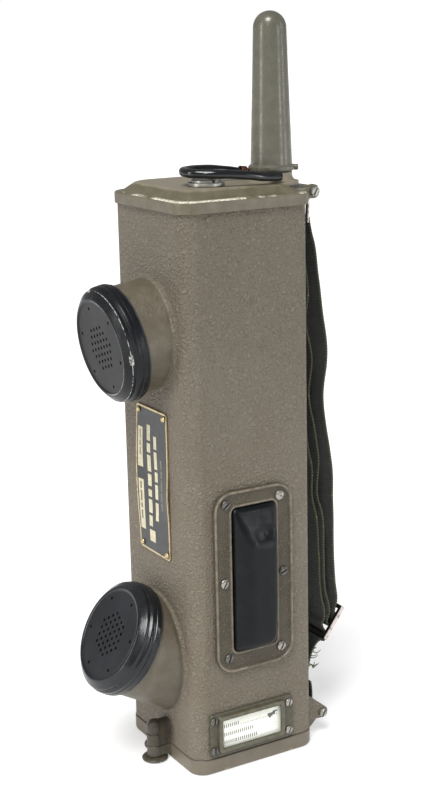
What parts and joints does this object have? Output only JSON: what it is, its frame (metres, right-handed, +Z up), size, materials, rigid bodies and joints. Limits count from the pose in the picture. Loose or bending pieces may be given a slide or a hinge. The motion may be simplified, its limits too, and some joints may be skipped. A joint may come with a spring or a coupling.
{
  "type": "walkie talkie",
  "caption": "Vintage handheld radio transceiver: tall metal case with earpiece, tilted mouthpiece, press-to-talk switch, capped telescopic aerial, hinged battery cover and hand strap.",
  "frame": {"origin": "on the vertical axis of the case, at the underside of the bottom cover", "axes": "+Z up along the case towards the aerial, -Y out of the earpiece and mouthpiece face, +X out of the press-to-talk face, +Y towards the hand strap"},
  "size_m": [0.0879, 0.152, 0.396],
  "materials": {
    "olive_paint": "crackle-textured olive drab enamel",
    "black_plastic": "semi-gloss moulded plastic",
    "black_rubber": "matt rubber",
    "steel": "worn plated steel",
    "brass": "bare brass",
    "webbing": "dark woven cotton webbing",
    "card": "matt white card",
    "clear_sheet": "clear sheet",
    "glass": "clear glass envelope",
    "board": "brown laminated board",
    "battery_wrap": "waxed card wrap",
    "aluminium": "bare sheet"
  },
  "bodies": {
    "case": {"case_shell": "olive_paint", "top_cover": "olive_paint", "ptt_bezel": "olive_paint", "label_frame": "olive_paint", "earpiece_cap": "black_plastic", "mouthpiece_cap": "black_plastic", "top_gasket": "black_rubber", "earpiece_gasket": "black_rubber", "mouthpiece_gasket": "black_rubber", "top_plug": "steel", "strap_pin": "steel", "hinge_pin": "steel", "strap_top_link": "steel", "strap_buckle": "steel", "ptt_bezel_screw_1": "steel", "ptt_bezel_screw_2": "steel", "ptt_bezel_screw_3": "steel", "ptt_bezel_screw_4": "steel", "ptt_bezel_screw_5": "steel", "ptt_bezel_screw_6": "steel", "label_screw_1": "steel", "label_screw_2": "steel", "label_screw_3": "steel", "label_screw_4": "steel", "aerial_guide_tube": "brass", "nameplate": "brass", "nameplate_rivet_1": "brass", "nameplate_rivet_2": "brass", "nameplate_rivet_3": "brass", "nameplate_rivet_4": "brass", "strap_long": "webbing", "strap_short": "webbing", "label_card": "card", "label_window": "clear_sheet", "valve_1": "glass", "valve_2": "glass", "valve_3": "glass", "valve_4": "glass", "aerial_loading_coil": "board", "ptt_switch_block": "board", "tank_coil": "board", "battery_a": "battery_wrap", "battery_b": "battery_wrap", "earpiece_capsule": "aluminium", "mouthpiece_capsule": "aluminium", "chassis_frame": "aluminium"},
    "cover": {"bottom_cover": "olive_paint", "bottom_gasket": "black_rubber", "battery_contact_strip": "brass", "latch_pin": "olive_paint"},
    "latch": {"latch_screw": "olive_paint"},
    "aerial_cap": {"aerial_cap": "olive_paint"},
    "section_1": {"aerial_section_1": "brass"},
    "section_2": {"aerial_section_2": "brass"},
    "section_3": {"aerial_section_3": "brass"},
    "section_4": {"aerial_section_4": "brass"},
    "loop": {"retaining_loop": "black_rubber", "loop_tie": "board"},
    "ptt": {"ptt_boot": "black_rubber", "ptt_plunger": "brass"}
  },
  "joints": [
    {"name": "cover_hinge", "type": "hinge", "parent": "case", "child": "cover", "pos_m": [0, 0.048, 0.0132], "axis": [1, 0, 0], "range_deg": [0, 100]},
    {"name": "latch_turn", "type": "hinge", "parent": "cover", "child": "latch", "pos_m": [0.0053, -0.0454, 0], "axis": [0, 0, 1], "range_deg": [0, 720]},
    {"name": "cap_lift", "type": "slide", "parent": "case", "child": "aerial_cap", "axis": [0, 0, 1], "range_m": [0, 1]},
    {"name": "aerial_slide_1", "type": "slide", "parent": "case", "child": "section_1", "axis": [0, 0, 1], "range_m": [0, 0.2]},
    {"name": "aerial_slide_2", "type": "slide", "parent": "section_1", "child": "section_2", "axis": [0, 0, 1], "range_m": [0, 0.2]},
    {"name": "aerial_slide_3", "type": "slide", "parent": "section_2", "child": "section_3", "axis": [0, 0, 1], "range_m": [0, 0.2]},
    {"name": "aerial_slide_4", "type": "slide", "parent": "section_3", "child": "section_4", "axis": [0, 0, 1], "range_m": [0, 0.2]},
    {"name": "loop_swing", "type": "hinge", "parent": "case", "child": "loop", "pos_m": [0.018, 0.0215, 0.3145], "axis": [-1, 0, 0], "range_deg": [0, 60]},
    {"name": "ptt_press", "type": "slide", "parent": "case", "child": "ptt", "axis": [-1, 0, 0], "range_m": [0, 0.0025], "stiffness_N_per_m": 1600, "springref_m": -0.001}
  ],
  "couplings": [
    {"joint": "aerial_slide_1", "follows": "cap_lift", "ratio": 0.2},
    {"joint": "aerial_slide_2", "follows": "cap_lift", "ratio": 0.2},
    {"joint": "aerial_slide_3", "follows": "cap_lift", "ratio": 0.2},
    {"joint": "aerial_slide_4", "follows": "cap_lift", "ratio": 0.2}
  ]
}
